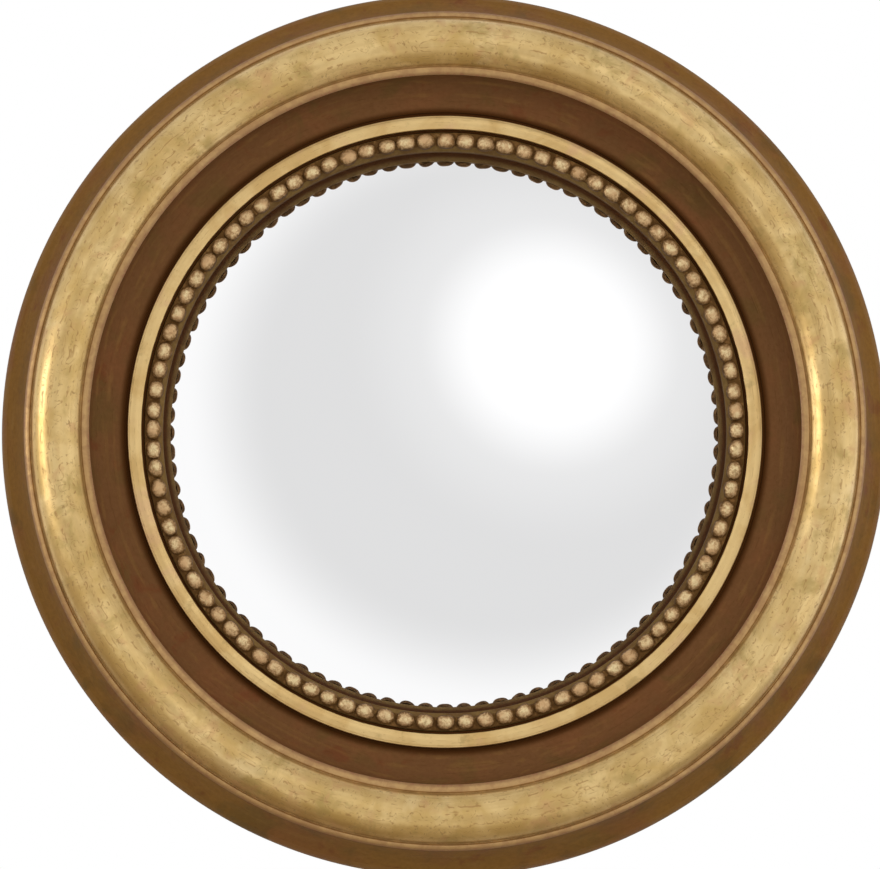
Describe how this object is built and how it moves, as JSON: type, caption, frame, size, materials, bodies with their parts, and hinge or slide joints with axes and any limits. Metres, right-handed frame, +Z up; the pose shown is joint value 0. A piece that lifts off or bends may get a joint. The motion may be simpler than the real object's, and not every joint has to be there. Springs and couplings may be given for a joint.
{
  "type": "convex wall mirror",
  "caption": "Round convex wall mirror in a turned gilt and bronze-brown frame with a beaded sight edge, turn-button back and D-ring hangers.",
  "frame": {"origin": "the middle of the wall plane, on which the four bumpers rest", "axes": "+Y into the wall, -Y out of the mirror's face, +Z up, +X to the right as seen from the front"},
  "size_m": [0.4999, 0.0545, 0.5],
  "materials": {
    "bronze_brown_paint": "satin paint and wax on turned wood",
    "gilt_leaf": "rubbed metal leaf on gesso and wood",
    "gilt_beading": "rubbed gilding on moulded composition",
    "silvered_glass": "polished convex mirror",
    "felt": "pressed felt",
    "hardboard": "smooth hardboard",
    "zinc_steel": "zinc plated",
    "rubber": "matt"
  },
  "bodies": {
    "frame": {"frame_back_ring": "bronze_brown_paint", "frame_front_ring": "bronze_brown_paint", "gilt_torus_moulding": "gilt_leaf", "gilt_astragal_ring": "gilt_leaf", "sight_slip": "bronze_brown_paint", "bead_strip": "gilt_beading", "mirror_glass": "silvered_glass", "glass_cushion": "felt", "backboard": "hardboard", "turn_button_screws": "zinc_steel", "hanger_strap_left": "zinc_steel", "hanger_strap_right": "zinc_steel", "hanger_strap_screws": "zinc_steel", "wall_bumpers": "rubber"},
    "left_d_ring": {"d_ring_left": "zinc_steel"},
    "right_d_ring": {"d_ring_right": "zinc_steel"},
    "button_1": {"turn_button_1": "zinc_steel"},
    "button_2": {"turn_button_2": "zinc_steel"},
    "button_3": {"turn_button_3": "zinc_steel"},
    "button_4": {"turn_button_4": "zinc_steel"},
    "button_5": {"turn_button_5": "zinc_steel"},
    "button_6": {"turn_button_6": "zinc_steel"}
  },
  "joints": [
    {"name": "left_d_ring_swing", "type": "hinge", "parent": "frame", "child": "left_d_ring", "pos_m": [-0.15, -0.00265, 0.15403], "axis": [1, 0, 0], "range_deg": [0, 178]},
    {"name": "right_d_ring_swing", "type": "hinge", "parent": "frame", "child": "right_d_ring", "pos_m": [0.15, -0.00265, 0.15403], "axis": [1, 0, 0], "range_deg": [0, 178]},
    {"name": "button_1_turn", "type": "hinge", "parent": "frame", "child": "button_1", "pos_m": [0.187, -0.00385, 0], "axis": [0, 1, 0], "continuous": true},
    {"name": "button_2_turn", "type": "hinge", "parent": "frame", "child": "button_2", "pos_m": [0.0935, -0.00385, 0.16195], "axis": [0, 1, 0], "continuous": true},
    {"name": "button_3_turn", "type": "hinge", "parent": "frame", "child": "button_3", "pos_m": [-0.0935, -0.00385, 0.16195], "axis": [0, 1, 0], "continuous": true},
    {"name": "button_4_turn", "type": "hinge", "parent": "frame", "child": "button_4", "pos_m": [-0.187, -0.00385, 0], "axis": [0, 1, 0], "continuous": true},
    {"name": "button_5_turn", "type": "hinge", "parent": "frame", "child": "button_5", "pos_m": [-0.0935, -0.00385, -0.16195], "axis": [0, 1, 0], "continuous": true},
    {"name": "button_6_turn", "type": "hinge", "parent": "frame", "child": "button_6", "pos_m": [0.0935, -0.00385, -0.16195], "axis": [0, 1, 0], "continuous": true}
  ]
}
